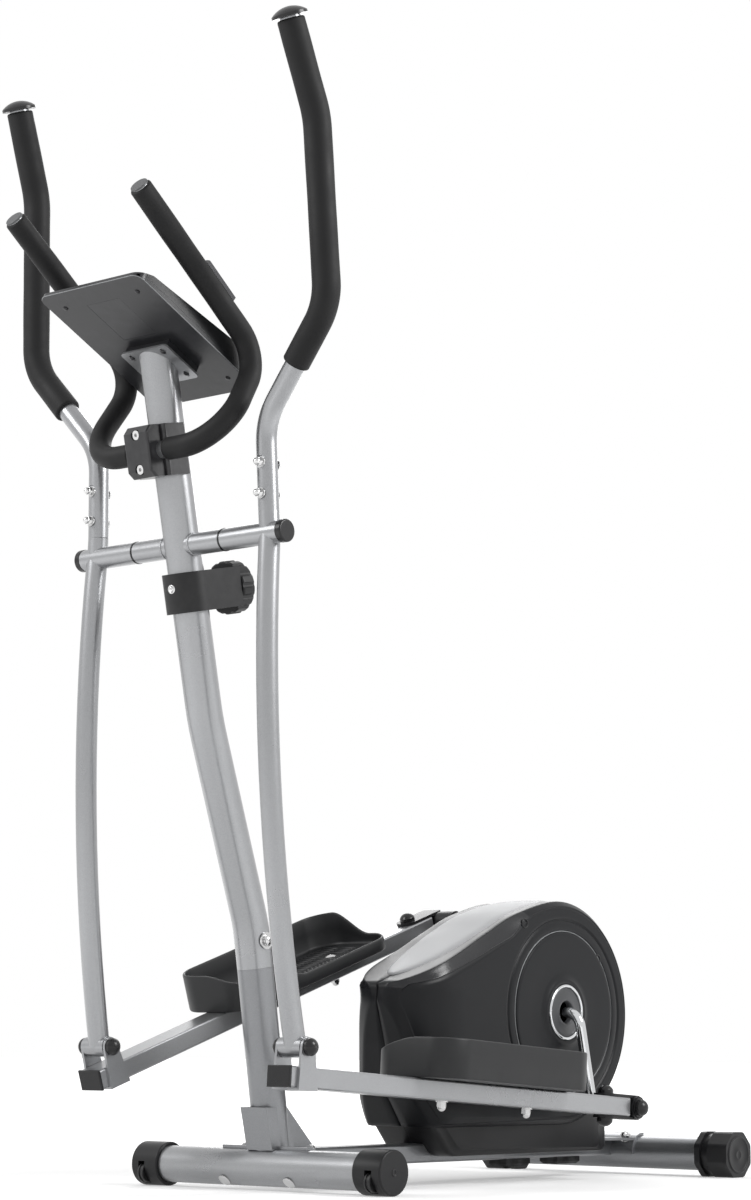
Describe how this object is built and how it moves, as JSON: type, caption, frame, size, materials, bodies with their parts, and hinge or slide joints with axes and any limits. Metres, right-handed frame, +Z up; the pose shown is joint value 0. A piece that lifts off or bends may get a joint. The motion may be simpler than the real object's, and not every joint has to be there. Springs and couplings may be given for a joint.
{
  "type": "elliptical trainer",
  "caption": "Front-mast cross trainer: swinging arm handles joined to long pedal arms, rear crank drive in a rounded housing, fixed grips, console and tension knob.",
  "frame": {"origin": "floor point under the middle of the machine's overall box, on the mid-plane", "axes": "+Z up, -Y towards the mast and the console, +X towards the user's left"},
  "size_m": [0.621, 1.281, 1.5824],
  "materials": {
    "silver_paint": "fine metallic silver, satin",
    "beam_paint": "fine metallic silver, a shade darker",
    "charcoal_plastic": "satin charcoal with a fine grain",
    "insert_plastic": "light grey, satin",
    "black_plastic": "matt black",
    "cap_plastic": "smooth black",
    "knob_plastic": "matt black, fine grain",
    "pedal_plastic": "matt dark grey, ribbed tread",
    "foam": "closed-cell foam, matt black",
    "rubber": "matt",
    "wheel_plastic": "dark grey, ribbed",
    "plug_plastic": "mid grey",
    "crank_chrome": "bright plate",
    "bright_steel": "zinc and nickel plate",
    "rod_steel": "ground",
    "flywheel_iron": "machined rim",
    "pulley_plastic": "moulded",
    "belt_rubber": "ribbed",
    "magnet_steel": "black paint",
    "sensor_steel": "brushed bright plate",
    "console_back_plastic": "dark grey, fine grain",
    "console_front_plastic": "mid grey, satin",
    "window_clear": "dark clear window",
    "button_rubber": "soft grey"
  },
  "bodies": {
    "base": {"base_frame": "beam_paint", "front_stabiliser_tube": "silver_paint", "rear_stabiliser_tube": "beam_paint", "wheel_caps": "black_plastic", "stabiliser_bolts": "bright_steel", "beam_pads": "rubber", "mast": "silver_paint", "mast_bolts": "bright_steel", "pivot_axle": "rod_steel", "pivot_bushes": "black_plastic", "pivot_fittings": "cap_plastic", "drive_bearings": "rod_steel", "drive_belt": "belt_rubber", "housing_left": "charcoal_plastic", "housing_right": "charcoal_plastic", "housing_insert": "insert_plastic", "hub_rings": "crank_chrome", "cover_screws": "bright_steel", "handlebar": "silver_paint", "grip_foams": "foam", "grip_plugs": "plug_plastic", "pulse_sensors": "sensor_steel", "bar_clamp": "cap_plastic", "tension_housing": "knob_plastic", "console_back": "console_back_plastic", "console_front": "console_front_plastic", "battery_door": "console_back_plastic", "console_window": "window_clear"},
    "swing_left": {"swing_arm_left": "silver_paint", "handle_tube_left": "silver_paint", "handle_foam_left": "foam", "handle_cap_left": "cap_plastic", "handle_bolts_left": "bright_steel"},
    "swing_right": {"swing_arm_right": "silver_paint", "handle_tube_right": "silver_paint", "handle_foam_right": "foam", "handle_cap_right": "cap_plastic", "handle_bolts_right": "bright_steel"},
    "pedal_bar_left": {"pedal_arm_left": "silver_paint", "pedal_left": "pedal_plastic", "crank_joint_left": "black_plastic", "arm_fasteners_left": "bright_steel", "arm_caps_left": "cap_plastic"},
    "pedal_bar_right": {"pedal_arm_right": "silver_paint", "pedal_right": "pedal_plastic", "crank_joint_right": "black_plastic", "arm_fasteners_right": "bright_steel", "arm_caps_right": "cap_plastic"},
    "crank_set": {"crank": "crank_chrome", "drive_pulley": "pulley_plastic"},
    "flywheel": {"flywheel": "flywheel_iron"},
    "wheel_left": {"transport_wheel_left": "wheel_plastic"},
    "wheel_right": {"transport_wheel_right": "wheel_plastic"},
    "level_left": {"level_cap_left": "black_plastic"},
    "level_right": {"level_cap_right": "black_plastic"},
    "knob": {"tension_knob": "knob_plastic"},
    "magnet": {"magnet_carrier": "magnet_steel"},
    "mode_key": {"button_mode": "button_rubber"},
    "set_key": {"button_set": "button_rubber"},
    "reset_key": {"button_reset": "button_rubber"}
  },
  "joints": [
    {"name": "crank_turn", "type": "hinge", "parent": "base", "child": "crank_set", "pos_m": [0, 0.3779, 0.254], "axis": [1, 0, 0], "continuous": true},
    {"name": "flywheel_turn", "type": "hinge", "parent": "base", "child": "flywheel", "pos_m": [0, 0.1749, 0.19], "axis": [1, 0, 0], "continuous": true},
    {"name": "swing_left_turn", "type": "hinge", "parent": "base", "child": "swing_left", "pos_m": [0, -0.4145, 0.8882], "axis": [1, 0, 0], "range_deg": [-11.5, 10]},
    {"name": "swing_right_turn", "type": "hinge", "parent": "base", "child": "swing_right", "pos_m": [0, -0.4145, 0.8882], "axis": [1, 0, 0], "range_deg": [-10, 11.5]},
    {"name": "pedal_left_turn", "type": "hinge", "parent": "swing_left", "child": "pedal_bar_left", "pos_m": [0, -0.36392, 0.19835], "axis": [1, 0, 0], "range_deg": [-10, 11.5]},
    {"name": "pedal_right_turn", "type": "hinge", "parent": "swing_right", "child": "pedal_bar_right", "pos_m": [0, -0.38025, 0.19735], "axis": [1, 0, 0], "range_deg": [-11.5, 10]},
    {"name": "wheel_left_turn", "type": "hinge", "parent": "base", "child": "wheel_left", "pos_m": [0, -0.2453, 0.019], "axis": [1, 0, 0], "continuous": true},
    {"name": "wheel_right_turn", "type": "hinge", "parent": "base", "child": "wheel_right", "pos_m": [0, -0.2453, 0.019], "axis": [1, 0, 0], "continuous": true},
    {"name": "level_left_turn", "type": "hinge", "parent": "base", "child": "level_left", "pos_m": [0, 0.6055, 0.035], "axis": [1, 0, 0], "range_deg": [-45, 45]},
    {"name": "level_right_turn", "type": "hinge", "parent": "base", "child": "level_right", "pos_m": [0, 0.6055, 0.035], "axis": [1, 0, 0], "range_deg": [-45, 45]},
    {"name": "tension_turn", "type": "hinge", "parent": "base", "child": "knob", "pos_m": [0, -0.39835, 0.825], "axis": [0, 0.978, 0.2086], "range_deg": [0, 270]},
    {"name": "magnet_turn", "type": "hinge", "parent": "base", "child": "magnet", "pos_m": [0, 0.063, 0.17427], "axis": [1, 0, 0], "range_deg": [0, 4]},
    {"name": "mode_press", "type": "slide", "parent": "base", "child": "mode_key", "axis": [0, -0.3425, -0.9395], "range_m": [0, 0.0012], "stiffness_N_per_m": 800},
    {"name": "set_press", "type": "slide", "parent": "base", "child": "set_key", "axis": [0, -0.3425, -0.9395], "range_m": [0, 0.0012], "stiffness_N_per_m": 800},
    {"name": "reset_press", "type": "slide", "parent": "base", "child": "reset_key", "axis": [0, -0.3425, -0.9395], "range_m": [0, 0.0012], "stiffness_N_per_m": 800}
  ],
  "couplings": [
    {"joint": "flywheel_turn", "follows": "crank_turn", "ratio": 6.25},
    {"joint": "swing_right_turn", "follows": "swing_left_turn", "ratio": -1},
    {"joint": "pedal_left_turn", "follows": "swing_left_turn", "ratio": -1},
    {"joint": "pedal_right_turn", "follows": "swing_left_turn", "ratio": 1},
    {"joint": "magnet_turn", "follows": "tension_turn", "ratio": 0.0148}
  ]
}
